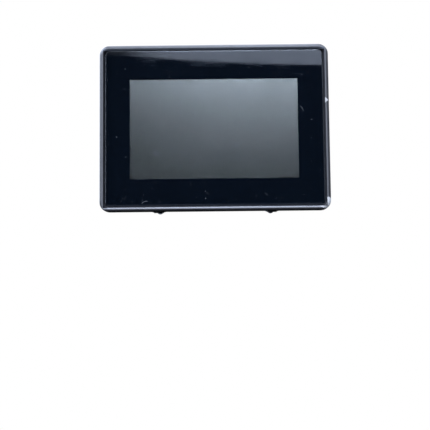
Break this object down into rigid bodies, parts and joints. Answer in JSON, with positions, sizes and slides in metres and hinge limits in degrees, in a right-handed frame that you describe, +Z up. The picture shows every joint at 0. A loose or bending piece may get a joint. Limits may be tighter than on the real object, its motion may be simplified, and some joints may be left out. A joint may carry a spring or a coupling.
{
  "type": "hmi touch panel",
  "caption": "Panel-mount operator display with a black rounded rim, flush touch glass, rear housing, connector bay and screw clamps.",
  "frame": {"origin": "centre of the cut-out, in the sealing plane where the gasket meets the cabinet wall", "axes": "+Z up, +Y through the cabinet wall towards the rear, the screen faces -Y, +X to the right seen from the front"},
  "size_m": [0.208, 0.0522, 0.152],
  "materials": {
    "bezel_paint": "textured black powder coat",
    "gasket_rubber": "matt",
    "cover_glass": "polished",
    "black_print": "printed ink",
    "adhesive": "matt",
    "sensor_film": "clear film",
    "flex_amber": "satin film",
    "module_steel": "pressed sheet",
    "lcd_surface": "satin polariser",
    "diffuser_film": "white film",
    "clear_acrylic": "clear",
    "led_yellow": "gloss",
    "screw_zinc": "zinc plated",
    "chassis_steel": "galvanised",
    "brass": "satin",
    "board_green": "solder mask",
    "chip_black": "moulded epoxy",
    "anodised_grey": "anodised",
    "inductor_grey": "matt",
    "capacitor_can": "satin",
    "black_plastic": "moulded",
    "cell_steel": "polished",
    "terminal_green": "moulded",
    "pin_tin": "tin plated",
    "port_steel": "nickel plated",
    "contact_gold": "gold plated",
    "insert_blue": "moulded",
    "tongue_white": "moulded",
    "card_blue": "moulded",
    "light_pipe": "clear",
    "button_red": "moulded",
    "cover_plastic": "fine spark texture",
    "door_plastic": "fine spark texture",
    "label_silver": "satin foil",
    "stud_yellow": "passivated",
    "clamp_steel": "zinc plated",
    "clamp_screw": "zinc plated"
  },
  "bodies": {
    "housing": {"front_bezel": "bezel_paint", "panel_gasket": "gasket_rubber", "cover_glass": "cover_glass", "printed_border": "black_print", "glass_tape": "adhesive", "touch_sensor": "sensor_film", "touch_flex": "flex_amber", "lcd_frame": "module_steel", "lcd_cell": "lcd_surface", "optical_films": "diffuser_film", "light_guide": "clear_acrylic", "backlight_strip": "led_yellow", "lcd_flex": "flex_amber", "display_screws": "screw_zinc", "chassis_plate": "chassis_steel", "chassis_screws": "screw_zinc", "board_spacers": "brass", "board_screws": "screw_zinc", "main_board": "board_green", "processor": "chip_black", "heat_sink": "anodised_grey", "memory_chips": "chip_black", "power_inductors": "inductor_grey", "capacitors": "capacitor_can", "buzzer": "black_plastic", "battery_holder": "black_plastic", "backup_battery": "cell_steel", "power_header": "terminal_green", "power_pins": "pin_tin", "ethernet_jack": "port_steel", "ethernet_contacts": "contact_gold", "serial_port": "port_steel", "serial_insert": "insert_blue", "jack_posts": "screw_zinc", "usb_host_port": "port_steel", "usb_device_port": "port_steel", "usb_tongues": "tongue_white", "card_socket": "port_steel", "status_lights": "light_pipe", "reset_switch": "black_plastic", "rear_cover": "cover_plastic", "cover_screws": "screw_zinc", "door_hinge_pin": "screw_zinc", "rating_label": "label_silver", "earth_stud": "stud_yellow", "earth_nut": "stud_yellow", "clamp_brackets": "clamp_steel"},
    "battery_door": {"battery_door": "door_plastic"},
    "memory_card": {"memory_card": "card_blue"},
    "power_plug": {"power_plug": "terminal_green", "terminal_screws": "screw_zinc"},
    "reset_button": {"reset_button": "button_red"},
    "clamp_foot_1": {"clamp_foot_1": "clamp_steel"},
    "clamp_screw_1": {"clamp_screw_1": "clamp_screw"},
    "clamp_foot_2": {"clamp_foot_2": "clamp_steel"},
    "clamp_screw_2": {"clamp_screw_2": "clamp_screw"},
    "clamp_foot_3": {"clamp_foot_3": "clamp_steel"},
    "clamp_screw_3": {"clamp_screw_3": "clamp_screw"},
    "clamp_foot_4": {"clamp_foot_4": "clamp_steel"},
    "clamp_screw_4": {"clamp_screw_4": "clamp_screw"}
  },
  "joints": [
    {"name": "battery_door_hinge", "type": "hinge", "parent": "housing", "child": "battery_door", "pos_m": [0.055, 0.041, 0.0392], "axis": [1, 0, 0], "range_deg": [0, 105]},
    {"name": "memory_card_slide", "type": "slide", "parent": "housing", "child": "memory_card", "axis": [-1, 0, 0], "range_m": [0, 0.028]},
    {"name": "power_plug_slide", "type": "slide", "parent": "housing", "child": "power_plug", "axis": [0, 0, -1], "range_m": [0, 0.0115]},
    {"name": "reset_button_press", "type": "slide", "parent": "housing", "child": "reset_button", "axis": [0, -1, 0], "range_m": [0, 0.0004], "stiffness_N_per_m": 500},
    {"name": "clamp_1_foot_slide", "type": "slide", "parent": "housing", "child": "clamp_foot_1", "axis": [0, -1, 0], "range_m": [0, 0.00569]},
    {"name": "clamp_1_screw_turn", "type": "hinge", "parent": "clamp_foot_1", "child": "clamp_screw_1", "pos_m": [-0.052, 0.02, 0.0725], "axis": [0, -1, 0], "range_deg": [0, 2930]},
    {"name": "clamp_2_foot_slide", "type": "slide", "parent": "housing", "child": "clamp_foot_2", "axis": [0, -1, 0], "range_m": [0, 0.00569]},
    {"name": "clamp_2_screw_turn", "type": "hinge", "parent": "clamp_foot_2", "child": "clamp_screw_2", "pos_m": [0.052, 0.02, 0.0725], "axis": [0, -1, 0], "range_deg": [0, 2930]},
    {"name": "clamp_3_foot_slide", "type": "slide", "parent": "housing", "child": "clamp_foot_3", "axis": [0, -1, 0], "range_m": [0, 0.00569]},
    {"name": "clamp_3_screw_turn", "type": "hinge", "parent": "clamp_foot_3", "child": "clamp_screw_3", "pos_m": [-0.052, 0.02, -0.0725], "axis": [0, -1, 0], "range_deg": [0, 2930]},
    {"name": "clamp_4_foot_slide", "type": "slide", "parent": "housing", "child": "clamp_foot_4", "axis": [0, -1, 0], "range_m": [0, 0.00569]},
    {"name": "clamp_4_screw_turn", "type": "hinge", "parent": "clamp_foot_4", "child": "clamp_screw_4", "pos_m": [0.052, 0.02, -0.0725], "axis": [0, -1, 0], "range_deg": [0, 2930]}
  ],
  "couplings": [
    {"joint": "clamp_1_screw_turn", "follows": "clamp_1_foot_slide", "rad_per_m": 8976},
    {"joint": "clamp_2_screw_turn", "follows": "clamp_2_foot_slide", "rad_per_m": 8976},
    {"joint": "clamp_3_screw_turn", "follows": "clamp_3_foot_slide", "rad_per_m": 8976},
    {"joint": "clamp_4_screw_turn", "follows": "clamp_4_foot_slide", "rad_per_m": 8976}
  ]
}
